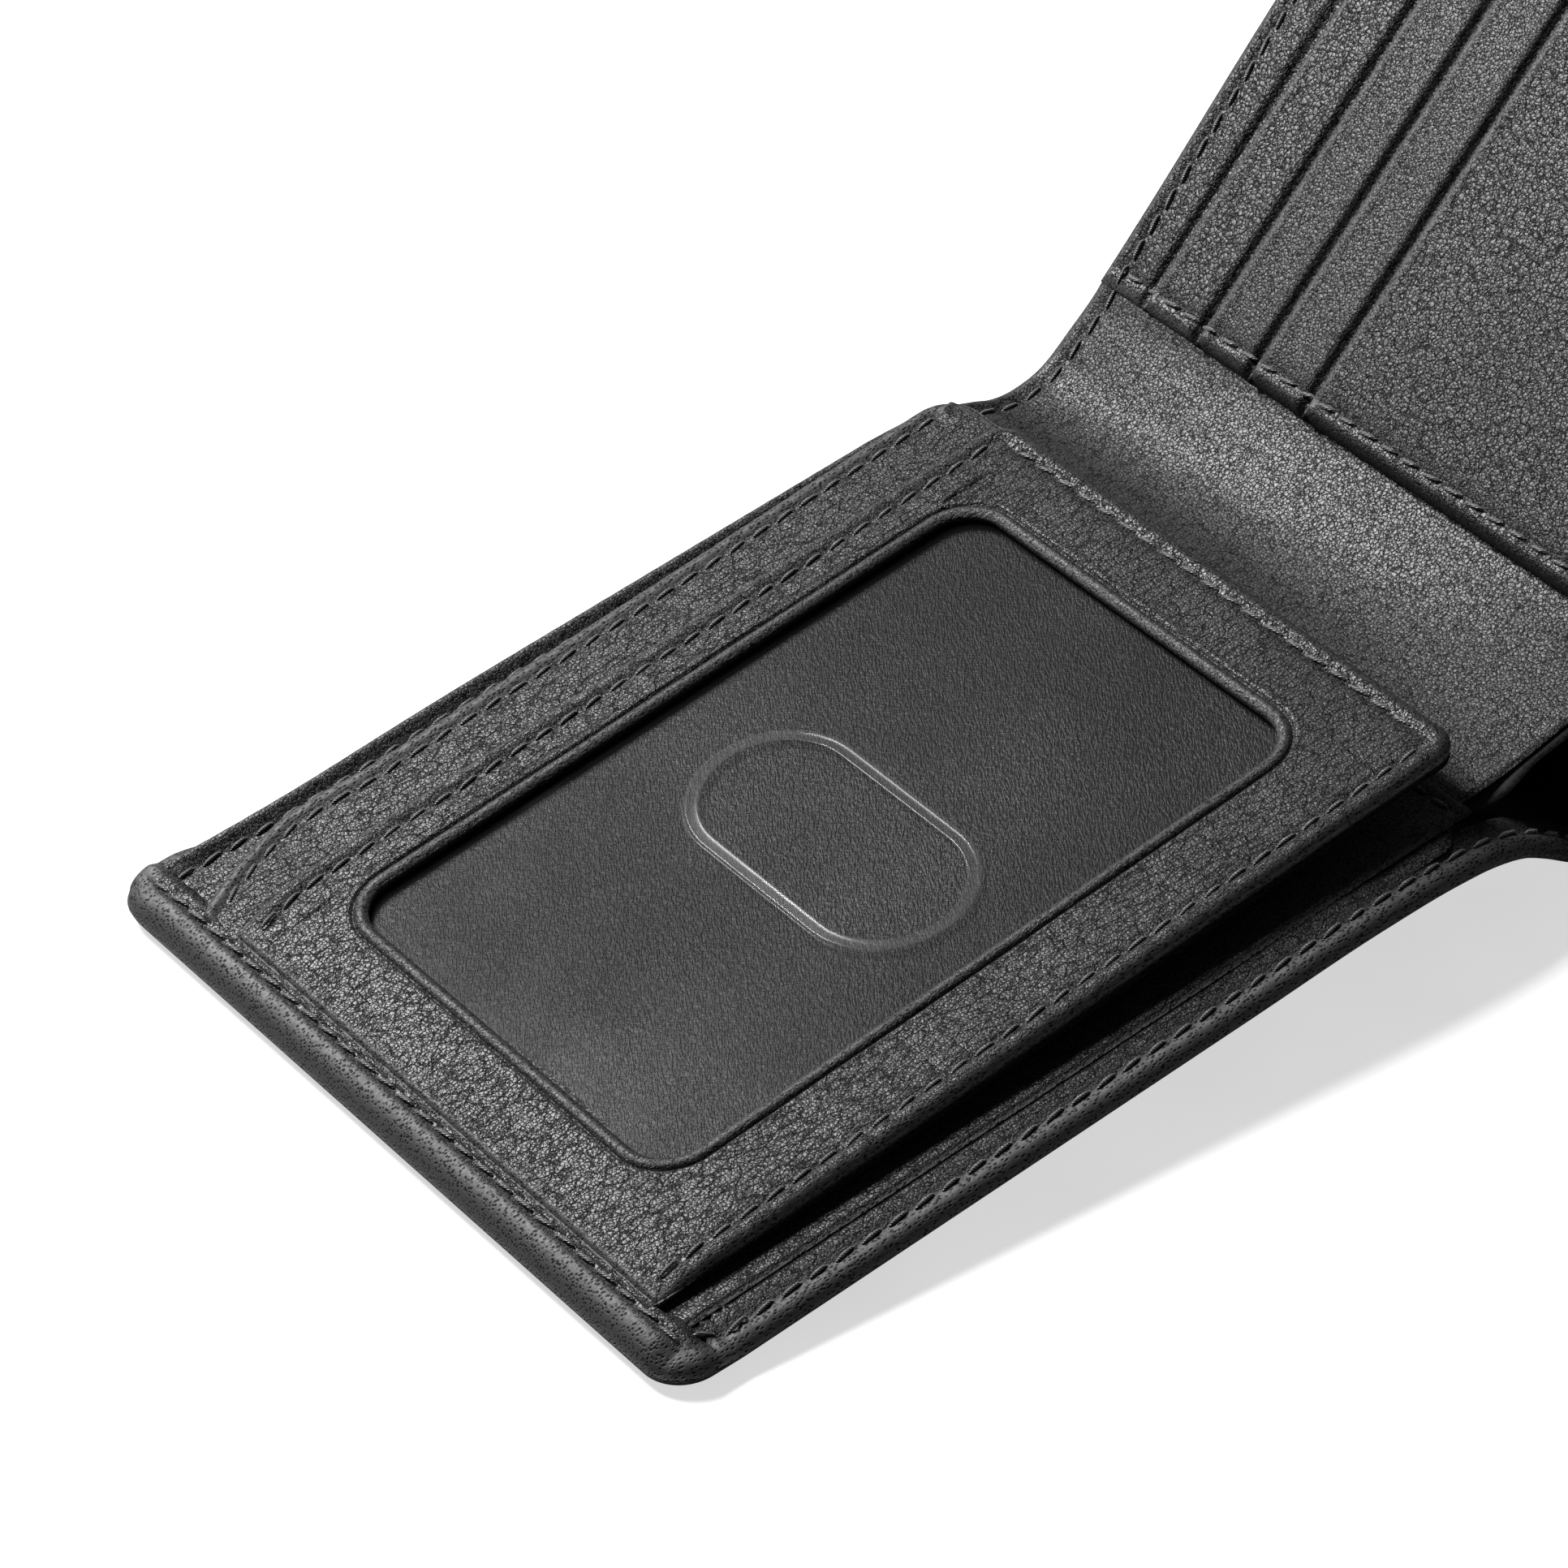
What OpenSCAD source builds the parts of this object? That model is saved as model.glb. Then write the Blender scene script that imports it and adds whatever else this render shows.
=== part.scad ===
// Three-leaf leather wallet: two main panels joined by a soft fold, and an ID leaf
// hinged on the outer edge of the left panel. It lies open on its left panel, with
// the right panel standing up from the fold.

/* [Panels] */
// Height of both main panels, along the fold
panel_h = 93; // [88:0.5:98]
// Length of the left panel's flat part, from its outer edge to where the fold starts
left_len = 104; // [100:0.5:108]
// Length of the right panel, from the fold's arc to its outer edge
right_len = 114; // [110:0.5:118]
// Radius of the panels' outer corners
corner_r = 5; // [2:0.5:8]
// Thickness of the outer leather
shell_t = 1.1; // [0.9:0.1:1.3]
// Width of the turned rim along the outer short edges
rim_w = 3.8; // [3:0.1:4]
// Width of the turned rim along the near long edges
near_rim_w = 2.6; // [2:0.1:3]
// Thickness of the fabric lining on the outer leather
lining_t = 0.15; // [0.1:0.05:0.2]

/* [Pose at rest] */
// Slope of the left panel, which lies with its fold end raised
left_tilt = 5.5; // [4:0.1:7]
// Slope of the right panel
right_tilt = 45.5; // [40:0.5:50]
// Slope of the ID leaf on the left panel
leaf_tilt = 2.2; // [2:0.1:2.6]

/* [Fold] */
// Distance along the table from the left panel's outer edge to the fold's axis
fold_x = 112.6; // [112:0.1:114]
// Height of the fold's axis, and radius of the outer leather around it
fold_r = 13.7; // [13.5:0.1:14]
// Length of the outer leather's lip where it turns down into the fold
lip_len = 4; // [2:0.5:4]

/* [ID leaf] */
// Length of the leaf from the outer edge's seam to its free edge
leaf_len = 101.2; // [99:0.1:102]
// Distance from the middle of the panel to the leaf's near edge
leaf_near = 38.3; // [36:0.1:40]
// Distance from the middle of the panel to the front leather's far edge
leaf_front_far = 32.2; // [30:0.1:34]
// Distance from the middle of the panel to the back leather's far edge
leaf_back_far = 41.6; // [39:0.1:43]
// Thickness of the leaf's front leather
leaf_front_t = 0.9; // [0.8:0.1:1]
// Thickness of the leaf's back leather
leaf_back_t = 0.7; // [0.6:0.1:0.8]
// Window opening along the leaf
win_l = 80; // [78:0.5:82]
// Window opening across the leaf
win_h = 49.7; // [48:0.1:51]
// Corner radius of the window opening
win_r = 5; // [3:0.5:7]
// Thickness of the clear window sheet
film_t = 0.25; // [0.2:0.05:0.3]
// Length of the thumb slot, rim included
slot_l = 35.9; // [34:0.1:38]
// Width of the thumb slot, rim included
slot_w = 19.05; // [18:0.05:20]
// Width of the thumb slot's pressed rim
slot_rim = 1.6; // [1.2:0.1:2]

/* [Card pockets] */
// Thickness of each card pocket's leather
pocket_t = 0.4; // [0.3:0.05:0.4]
// Distance from the fold's axis to the pockets' sewn side, along the right panel
stack_u = 14.1; // [13:0.1:16]
// Height of the first card slot's mouth above the middle of the panel
slot_y0 = 38.2; // [36:0.1:39]
// Step from one card slot's mouth to the next
slot_pitch = 8.85; // [8:0.1:9]
// Height of the left card pocket's mouth above the middle of the panel
left_pocket_y = 40.2; // [39:0.1:42]

/* [Stitching] */
// Step from one stitch to the next
stitch_p = 3.2; // [3:0.1:3.6]
// Length of the thread that shows at one stitch
stitch_l = 2.3; // [2:0.1:2.5]
// Width of the thread
stitch_w = 0.5; // [0.4:0.05:0.6]
// Height of the thread above the leather
stitch_t = 0.2; // [0.15:0.05:0.25]

/* [Hidden] */
$fn = 48;
e = 0.05;                      // gap left between layers that lie on each other
hh = panel_h/2;
// left stack, heights above the outer face
lin_w = shell_t + e;
div_w = 1.8;                   // underside of the left divider
div_t = 0.65;
pock_w = div_w + div_t + e;    // underside of the left pocket
rim_top = 3.6;
near_top = 2.9;
// leaf: its own frame has the hinge axis at the origin, and +w out of the front
leaf_u = 4.2;
leaf_w = 4.3;
front_top = 0.56;
film_w = front_top - leaf_front_t - e - film_t;
leaf_lin_w = film_w - 0.35 - lining_t;
back_w = leaf_lin_w - e - leaf_back_t;
back_u = 17;                   // the back leather and the lining start here
win_u = leaf_len - 11.5 - win_l/2;
win_y = -1.15;
slot_y = -2.66;
// right stack
div_r_top = 4.75;              // face of the right divider, at the fold's axis
div_r_tilt = 1.25;             // it closes on the outer leather towards the outer edge
rim_r_top = 4.4;
near_r_top = 3.2;
// middle of the object's length, so that the origin is under its middle
end_x = fold_x + right_len*cos(right_tilt) + fold_r*sin(right_tilt);
mid_x = (end_x - rim_top*sin(left_tilt))/2;

black = [0.055, 0.055, 0.058];
dark = [0.04, 0.04, 0.042];
satin = [0.09, 0.09, 0.095];
clear = [0.6, 0.62, 0.64, 0.35];

// Frames -------------------------------------------------------------------
module in_left() {
    translate([-mid_x, 0, 0]) rotate([0, -left_tilt, 0]) children();
}
module in_leaf() {
    in_left() translate([leaf_u, 0, leaf_w]) rotate([0, -leaf_tilt, 0]) children();
}
module in_right() {
    translate([fold_x - mid_x, 0, fold_r]) rotate([0, -right_tilt, 0])
        translate([0, 0, -fold_r]) children();
}
module in_right_stack() {
    in_right() translate([0, 0, div_r_top]) rotate([0, div_r_tilt, 0]) children();
}

// Shapes -------------------------------------------------------------------
// sheet from (u0,y0) to (u1,y1), its corners rounded at the low-u end and the high-u end
module outline(u0, u1, y0, y1, ra, rb) {
    union() {
        translate([u0 + ra, y0]) square([u1 - u0 - ra - rb, y1 - y0]);
        translate([u0, y0 + ra]) square([ra + 0.01, y1 - y0 - 2*ra]);
        translate([u1 - rb - 0.01, y0 + rb]) square([rb + 0.01, y1 - y0 - 2*rb]);
        for (s = [0, 1]) {
            translate([u0 + ra, s ? y1 - ra : y0 + ra]) circle(ra);
            translate([u1 - rb, s ? y1 - rb : y0 + rb]) circle(rb);
        }
    }
}
module sheet(u0, u1, y0, y1, w0, t, ra = 0.5, rb = 0.5) {
    translate([0, 0, w0]) linear_extrude(t) outline(u0, u1, y0, y1, ra, rb);
}
module racetrack(l, w) {
    union() {
        square([w, l - w], center = true);
        for (s = [-1, 1]) translate([0, s*(l - w)/2]) circle(w/2);
    }
}
// a row of stitches along u, or along y
module row_u(u0, u1, y, w) {
    n = floor((u1 - u0)/stitch_p);
    for (i = [0:n - 1])
        translate([u0 + i*stitch_p, y - stitch_w/2, w]) cube([stitch_l, stitch_w, stitch_t]);
}
module row_y(u, y0, y1, w) {
    n = floor((y1 - y0)/stitch_p);
    for (i = [0:n - 1])
        translate([u - stitch_w/2, y0 + i*stitch_p, w]) cube([stitch_w, stitch_l, stitch_t]);
}
// a strip around the fold's axis: radii r0 to r1, angles a0 to a1 in the end view
module arc_strip(r0, r1, a0, a1, y0, y1) {
    translate([fold_x - mid_x, y1, fold_r]) rotate([90, 0, 0]) linear_extrude(y1 - y0)
        intersection() {
            difference() { circle(r1, $fn = 96); circle(r0, $fn = 96); }
            polygon([[0, 0], 30*[cos(a0), sin(a0)], 30*[cos((a0 + a1)/2), sin((a0 + a1)/2)],
                30*[cos(a1), sin(a1)]]);
        }
}

// Left panel ---------------------------------------------------------------
// outer leather, its rim turned up over the outer short edge and the near long edge
module shell_left() {
    color(black) in_left() union() {
        sheet(0, left_len, -hh, hh, 0, shell_t, corner_r, 0.2);
        intersection() {
            sheet(0, left_len, -hh, hh, 0, rim_top, corner_r, 0.2);
            union() {
                translate([0, -hh, 0.5]) cube([rim_w, panel_h, rim_top - 0.5]);
                translate([0, -hh, 0.5]) cube([left_len, near_rim_w, near_top - 0.5]);
            }
        }
        translate([left_len, 0, 0]) rotate([0, 40, 0])
            translate([-0.4, -hh, 0]) cube([lip_len, panel_h, shell_t]);
    }
}
module lining_left() {
    color(dark) in_left()
        sheet(rim_w + 0.1, left_len - 1, -hh + near_rim_w + 0.1, hh - 1, lin_w, lining_t);
}
module divider_left() {
    color(black) in_left()
        sheet(rim_w + 0.1, left_len - 1, -hh + near_rim_w + 0.1, hh - 1.2, div_w, div_t);
}
module pocket_left() {
    color(black) in_left()
        sheet(rim_w + 0.1, left_len - 1, -hh + near_rim_w + 0.6, left_pocket_y, pock_w, 0.5);
}
module stitch_rim_left() {
    color(dark) in_left() row_y(3.2, -hh + 5, hh - 4, rim_top);
}
module stitch_near_left() {
    color(dark) in_left() row_u(6, left_len - 1, -hh + 1.6, near_top);
}
module stitch_divider_left() {
    color(dark) in_left() row_u(6, left_len - 1, hh - 3.2, div_w + div_t);
}
module stitch_pocket_left() {
    color(dark) in_left() row_y(left_len - 2.2, -hh + 5, left_pocket_y - 1, pock_w + 0.5);
}

// Fold ---------------------------------------------------------------------
module shell_spine() {
    color(black) arc_strip(fold_r - shell_t, fold_r, -118, -66, -hh, hh);
}
module lining_spine() {
    color(dark) arc_strip(fold_r - shell_t - e - lining_t, fold_r - shell_t - e, -118, -66,
        -hh + 2.7, hh - 1);
}
module divider_spine() {
    color(black) arc_strip(8.9, 9.6, -98, -66, -hh + 4, hh - 1.2);
}

// ID leaf ------------------------------------------------------------------
module leaf_front() {
    color(black) in_leaf() difference() {
        sheet(0.3, leaf_len, -leaf_near, leaf_front_far, front_top - leaf_front_t,
            leaf_front_t, 0.5, 3);
        sheet(win_u - win_l/2, win_u + win_l/2, win_y - win_h/2, win_y + win_h/2,
            front_top - leaf_front_t - 1, leaf_front_t + 2, win_r, win_r);
    }
}
// clear sheet with a thumb slot, its rim pressed up
module leaf_window() {
    color(clear) in_leaf() difference() {
        union() {
            sheet(win_u - win_l/2 - 3, win_u + win_l/2 + 3, win_y - win_h/2 - 3,
                win_y + win_h/2 + 3, film_w, film_t, 1, 1);
            translate([win_u, slot_y, film_w]) linear_extrude(film_t + 0.2)
                racetrack(slot_l, slot_w);
        }
        translate([win_u, slot_y, film_w - 1]) linear_extrude(film_t + 3)
            racetrack(slot_l - 2*slot_rim, slot_w - 2*slot_rim);
    }
}
module leaf_lining() {
    color(satin) in_leaf()
        sheet(back_u, leaf_len - 1, -leaf_near + 1, leaf_back_far - 1.2, leaf_lin_w, lining_t);
}
module leaf_back() {
    color(black) in_leaf()
        sheet(back_u, leaf_len, -leaf_near, leaf_back_far, back_w, leaf_back_t, 0.5, 4);
}
module stitch_leaf_top() {
    color(dark) in_leaf() row_u(3, leaf_len - 3, leaf_front_far - 2.2, front_top);
}
module stitch_leaf_side() {
    color(dark) in_leaf() row_y(leaf_len - 2.2, -leaf_near + 4, leaf_front_far - 1, front_top);
}
module stitch_leaf_near() {
    color(dark) in_leaf() row_u(3, leaf_len - 3, -leaf_near + 2.4, front_top);
}
module stitch_leaf_back() {
    color(dark) in_leaf()
        row_u(back_u + 1, leaf_len - 4, leaf_back_far - 2.2, leaf_lin_w + lining_t + 0.02);
}

// Right panel --------------------------------------------------------------
module shell_right() {
    color(black) in_right() union() {
        sheet(0, right_len, -hh, hh, 0, shell_t, 0.2, corner_r);
        intersection() {
            sheet(0, right_len, -hh, hh, 0, rim_r_top, 0.2, corner_r);
            union() {
                translate([right_len - rim_w, -hh, 0.5]) cube([rim_w, panel_h, rim_r_top - 0.5]);
                translate([4, -hh, 0.5]) cube([right_len - 4, near_rim_w, near_r_top - 0.5]);
            }
        }
    }
}
module lining_right() {
    color(dark) in_right()
        sheet(0.5, right_len - rim_w - 0.1, -hh + near_rim_w + 0.1, hh - 1, lin_w, lining_t);
}
module divider_right() {
    color(black) in_right_stack()
        sheet(1.5, right_len - rim_w - 0.3, -hh + near_rim_w + 0.2, hh - 1.2, -0.7, 0.7);
}
// the panel that the card pockets are sewn to; its far edge is turned and stitched
module slot_panel() {
    color(black) in_right_stack()
        sheet(stack_u, right_len - rim_w - 0.4, -hh + near_rim_w + 0.6, hh - 1.2,
            e, pocket_t, 0.8, 0.5);
}
// one card pocket: each lies on the one behind it and starts one step lower
module slot_pocket(k) {
    color(black) in_right_stack()
        sheet(stack_u, right_len - rim_w - 0.4, -hh + near_rim_w + 0.6,
            slot_y0 - k*slot_pitch, e + (k + 1)*(pocket_t + e), pocket_t, 0.8, 0.5);
}
module slot_pocket_1() { slot_pocket(0); }
module slot_pocket_2() { slot_pocket(1); }
module slot_pocket_3() { slot_pocket(2); }
module slot_pocket_4() { slot_pocket(3); }
module stitch_rim_right() {
    color(dark) in_right() row_y(right_len - 2.6, -hh + 5, hh - 4, rim_r_top);
}
module stitch_near_right() {
    color(dark) in_right() row_u(5, right_len - 5, -hh + 1.6, near_r_top);
}
module stitch_divider_right() {
    color(dark) in_right_stack() {
        row_u(2, stack_u - 1, hh - 3, 0);
        row_u(stack_u + 1, right_len - 5, hh - 3, e + pocket_t);
    }
}
module stitch_stack_side() {
    color(dark) in_right_stack() for (k = [0:3])
        row_y(stack_u + 2.2, k == 3 ? -hh + 5 : slot_y0 - (k + 1)*slot_pitch + 1,
            slot_y0 - k*slot_pitch - 1, e + (k + 1)*(pocket_t + e) + pocket_t);
}

shell_left();
lining_left();
divider_left();
pocket_left();
stitch_rim_left();
stitch_near_left();
stitch_divider_left();
stitch_pocket_left();
shell_spine();
lining_spine();
divider_spine();
leaf_front();
leaf_window();
leaf_lining();
leaf_back();
stitch_leaf_top();
stitch_leaf_side();
stitch_leaf_near();
stitch_leaf_back();
shell_right();
lining_right();
divider_right();
slot_panel();
slot_pocket_1();
slot_pocket_2();
slot_pocket_3();
slot_pocket_4();
stitch_rim_right();
stitch_near_right();
stitch_divider_right();
stitch_stack_side();
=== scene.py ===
import bpy
import numpy as np
from mathutils import Matrix, Vector


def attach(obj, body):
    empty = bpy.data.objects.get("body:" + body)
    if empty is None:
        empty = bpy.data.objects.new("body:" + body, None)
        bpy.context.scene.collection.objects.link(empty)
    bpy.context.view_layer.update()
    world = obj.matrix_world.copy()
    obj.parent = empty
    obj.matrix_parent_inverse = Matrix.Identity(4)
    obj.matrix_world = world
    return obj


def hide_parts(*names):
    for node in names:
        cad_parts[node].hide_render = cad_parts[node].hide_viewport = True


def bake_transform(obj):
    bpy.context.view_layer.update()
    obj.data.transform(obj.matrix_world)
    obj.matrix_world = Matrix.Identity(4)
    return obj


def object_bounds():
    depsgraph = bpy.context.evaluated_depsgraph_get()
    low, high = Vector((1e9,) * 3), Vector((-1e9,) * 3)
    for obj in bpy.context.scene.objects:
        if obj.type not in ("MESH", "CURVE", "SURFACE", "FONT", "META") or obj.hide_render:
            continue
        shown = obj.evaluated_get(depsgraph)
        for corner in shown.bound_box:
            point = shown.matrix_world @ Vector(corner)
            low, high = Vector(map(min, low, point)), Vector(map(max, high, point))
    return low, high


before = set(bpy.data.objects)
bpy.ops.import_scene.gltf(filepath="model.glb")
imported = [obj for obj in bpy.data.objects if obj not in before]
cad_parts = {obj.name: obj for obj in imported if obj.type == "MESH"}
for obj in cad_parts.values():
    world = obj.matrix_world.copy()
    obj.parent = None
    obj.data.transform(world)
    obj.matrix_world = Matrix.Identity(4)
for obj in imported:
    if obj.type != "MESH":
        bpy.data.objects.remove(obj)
cad_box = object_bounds()

# ---------------------------------------------------------------- table, light and camera
# A white paper table, one broad lamp above and behind, and the camera above the near left
# corner with a long lens. Only the camera sees the table and the room white, so that black
# leather isn't lit from all round.
MM = 0.001
floor_level = cad_box[0].z
bpy.ops.object.select_all(action="DESELECT")
bpy.ops.mesh.primitive_plane_add(size=6, location=(0, 0, floor_level - 0.02 * MM))
table_top = bpy.context.object
table_top.name = "table_top"


def blank(name, **sockets):
    """A new finish with its shader's own sockets set, and a short way to add and join nodes."""
    made = bpy.data.materials.new(name)
    made.use_nodes = True
    tree = made.node_tree
    shader = tree.nodes["Principled BSDF"]
    for socket, value in sockets.items():
        shader.inputs[socket.replace("_", " ")].default_value = value

    def add(kind, values=None, **settings):
        node = tree.nodes.new(kind)
        for key, value in settings.items():
            setattr(node, key, value)
        for socket, value in (values or {}).items():
            if isinstance(value, bpy.types.NodeSocket):
                tree.links.new(value, node.inputs[socket])
            else:
                node.inputs[socket].default_value = value
        return node

    def join(output, socket):
        tree.links.new(output, shader.inputs[socket])

    return made, add, join


def ranged(add, value, low, high, to_low=0.0, to_high=1.0):
    """value, moved smoothly from low..high to to_low..to_high."""
    return add("ShaderNodeMapRange", {0: value, 1: low, 2: high, 3: to_low, 4: to_high},
               interpolation_type="SMOOTHSTEP").outputs[0]


paper, add, join = blank("table_paper", Roughness=0.9)
grain = add("ShaderNodeTexNoise", {"Scale": 60.0, "Detail": 4.0,
            "Vector": add("ShaderNodeTexCoord").outputs["Object"]}).outputs[0]
tone = add("ShaderNodeMix", {0: grain, 6: (0.52, 0.52, 0.52, 1), 7: (0.56, 0.56, 0.56, 1)},
           data_type="RGBA")
join(tone.outputs[2], "Base Color")
join(tone.outputs[2], "Emission Color")
join(ranged(add, add("ShaderNodeLightPath").outputs["Is Camera Ray"], 0.0, 1.0, 0.05, 1.18),
     "Emission Strength")
table_top.data.materials.append(paper)

scene = bpy.context.scene
scene.view_settings.view_transform = "Standard"
scene.world = scene.world or bpy.data.worlds.new("room")
scene.world.use_nodes = True
room = scene.world.node_tree.nodes["Background"]
room.inputs[0].default_value = (1, 1, 1, 1)
sight = scene.world.node_tree.nodes.new("ShaderNodeLightPath")
bright = scene.world.node_tree.nodes.new("ShaderNodeMapRange")
bright.inputs[3].default_value, bright.inputs[4].default_value = 0.07, 1.0
scene.world.node_tree.links.new(sight.outputs["Is Camera Ray"], bright.inputs[0])
scene.world.node_tree.links.new(bright.outputs[0], room.inputs[1])

light = bpy.data.lights.new("window_lamp", "AREA")
light.size, light.energy = 0.22, 8.2
lamp = bpy.data.objects.new("window_lamp", light)
scene.collection.objects.link(lamp)
lamp.location = (-0.10, 0.36, 0.43)
lamp.rotation_euler = (Vector((0, 0, 0.02)) - lamp.location).to_track_quat("-Z", "Y").to_euler()

camera = bpy.data.objects.new("camera", bpy.data.cameras.new("camera"))
scene.collection.objects.link(camera)
camera.data.lens, camera.data.sensor_width = 149.07, 36
camera.data.clip_start, camera.data.clip_end = 0.01, 10
camera.matrix_world = Matrix(((0.784552, 0.411871, -0.463509, -0.345674),
                              (-0.619317, 0.483855, -0.618329, -0.392381),
                              (-0.030401, 0.772170, 0.634688, 0.421028),
                              (0, 0, 0, 1)))
scene.camera = camera

# ---------------------------------------------------------------- shell
# The outer leather: one long piece from the left panel round the fold to the right one,
# 1.1 mm thick, its near edge and both ends turned in over themselves and sewn down.
HALF = 46.5          # half the wallet's height, along the fold
MID = 100.965        # from the left end to the frame's middle
LEFT_TILT, RIGHT_TILT = np.radians((5.5, 45.5))
RIGHT_LENGTH = 114
FOLD_X, FOLD_Z = 112.6, 13.7
SHELL_THICK = 1.1
CORNER = 5.0         # radius of its corners
PROUD = 0.7          # how far the left end's rolled rim stands out
PITCH = 3.2          # from one stitch to the next
NEAR_ROW, LEFT_ROW, RIGHT_ROW = 2.5, 3.65, 2.6    # how far in its rows of stitches are


def lean(tilt, u, w, x=0.0, z=0.0):
    """The (x, z) at u along and w off a line that leans by tilt and starts at x, z."""
    return x + u * np.cos(tilt) - w * np.sin(tilt), z + u * np.sin(tilt) + w * np.cos(tilt)


def on_left(u, w):
    return lean(LEFT_TILT, u, w)


def on_right(u, w):
    return lean(RIGHT_TILT, u, w - FOLD_Z, FOLD_X, FOLD_Z)


def step(low, high, value):
    """0 below low, 1 above high, and smooth between them."""
    t = np.clip((value - low) / (high - low), 0, 1)
    return t * t * (3 - 2 * t)


def hump(value, width):
    """1 where value is 0, and soon 0 on either side."""
    return np.exp(-(value / width) ** 2)


def roll(t):
    """A rounded edge: 0 at the edge, 1 from its radius inwards."""
    return np.sqrt(1 - (1 - np.clip(t, 0, 1)) ** 2)


def pleats(t):
    """One pleat for each whole number that t passes: from 1 down to -1."""
    return 1 - 2 * (t - np.floor(t))


def smooth_line(points):
    """An even, smooth line through (x, z) points, with its lengths and its inner side's normals."""
    p = np.array(points, float)
    t = np.r_[0, np.cumsum(np.hypot(*np.diff(p, axis=0).T))]
    m = np.gradient(p, t, axis=0)
    fine = np.linspace(0, t[-1], 2400)
    k = np.clip(np.searchsorted(t, fine, "right") - 1, 0, len(t) - 2)
    h = (t[k + 1] - t[k])[:, None]
    q = (fine - t[k])[:, None] / h
    line = ((2 * q**3 - 3 * q**2 + 1) * p[k] + (q**3 - 2 * q**2 + q) * h * m[k]
            + (3 * q**2 - 2 * q**3) * p[k + 1] + (q**3 - q**2) * h * m[k + 1])
    run = np.r_[0, np.cumsum(np.hypot(*np.diff(line, axis=0).T))]
    way = np.gradient(line, run, axis=0)
    way /= np.hypot(*way.T)[:, None]
    return run, line, np.c_[-way[:, 1], way[:, 0]]


def along(line, s, w):
    """The (x, z) at length s on a smooth line and w off it."""
    run, points, off = line
    x, z = (np.interp(s, run, points[:, i]) for i in (0, 1))
    nx, nz = (np.interp(s, run, off[:, i]) for i in (0, 1))
    return x + nx * w, z + nz * w


def spread(a, b, coarse, *dense):
    """Places from a to b, coarse apart, and closer round each (place, reach, gap) of dense."""
    x = np.linspace(a, b, 6001)
    per = np.full_like(x, 1 / coarse)
    for at, reach, gap in dense:
        per = np.maximum(per, np.clip(2 - abs(x - at) / reach, 0, 1) / gap)
    count = np.r_[0, np.cumsum((per[1:] + per[:-1]) / 2 * np.diff(x))]
    return np.interp(np.linspace(0, count[-1], int(np.ceil(count[-1])) + 1), count, x)


def rounded(a, b, *corners):
    """Draws square corners of a sheet in to round ones: each is (centre a, centre b, sides)."""
    a, b = a.copy(), b.copy()
    for ca, cb, sa, sb in corners:
        p, q = sa * (a - ca), sb * (b - cb)
        on = (p > 0) & (q > 0)
        m = np.maximum(p, q)[on] / np.hypot(p, q)[on]
        a[on], b[on] = ca + sa * p[on] * m, cb + sb * q[on] * m
    return a, b


def sewn(off, run, depth=0.26, swell=0.10):
    """How a row of stitches draws leather down: off from the row, run along it. It is deepest
    at the holes between two stitches, and swells between them on either side."""
    hole = 0.5 - 0.5 * np.cos(2 * np.pi * run / PITCH)
    return (-depth * hump(off, 0.62) * (0.55 + 0.45 * hole)
            + swell * hump(abs(off) - 1.35, 0.75) * (0.3 - hole))


def points_of(piece):
    co = np.zeros(len(piece.data.vertices) * 3)
    piece.data.vertices.foreach_get("co", co)
    return co.reshape(-1, 3)


def lay(piece, x, y, z, rolled=None):
    """Puts a piece's points at x, y, z in millimetres, and keeps where its edges are rolled."""
    co = np.c_[x - MID, y, z] * MM
    piece.data.vertices.foreach_set("co", co.ravel())
    if rolled is not None:
        kept = piece.data.attributes.new("rolled", "FLOAT", "POINT")
        kept.data.foreach_set("value", np.asarray(rolled, np.float32))
    piece.data.update()
    for polygon in piece.data.polygons:
        polygon.use_smooth = True


def cut_sheet(name, us, ys):
    """A flat cut sheet with a thickness, gridded at us and ys. Gives it with each point's u and
    y and whether it is on the under side."""
    bpy.ops.object.select_all(action="DESELECT")
    bpy.ops.mesh.primitive_grid_add(x_subdivisions=len(us) - 1, y_subdivisions=len(ys) - 1, size=2)
    piece = bpy.context.object
    piece.name = piece.data.name = name
    wall = piece.modifiers.new("thickness", "SOLIDIFY")
    wall.thickness, wall.offset = 1.0, -1.0
    bpy.ops.object.modifier_apply(modifier=wall.name)
    co = points_of(piece)
    i = np.rint((co[:, 0] + 1) / 2 * (len(us) - 1)).astype(int)
    j = np.rint((co[:, 1] + 1) / 2 * (len(ys) - 1)).astype(int)
    return piece, us[i], ys[j], co[:, 2] < -0.5


def in_mm(add, turn=0.0):
    """The place on the piece, in millimetres."""
    at = add("ShaderNodeTexCoord").outputs["Object"]
    return add("ShaderNodeMapping", {0: at, 2: (0, 0, turn), 3: (1000.0, 1000.0, 1000.0)}).outputs[0]


def plus(add, first, second):
    return add("ShaderNodeMath", {0: first, 1: second}, operation="ADD").outputs[0]


def times(add, first, second):
    return add("ShaderNodeMath", {0: first, 1: second}, operation="MULTIPLY").outputs[0]


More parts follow.
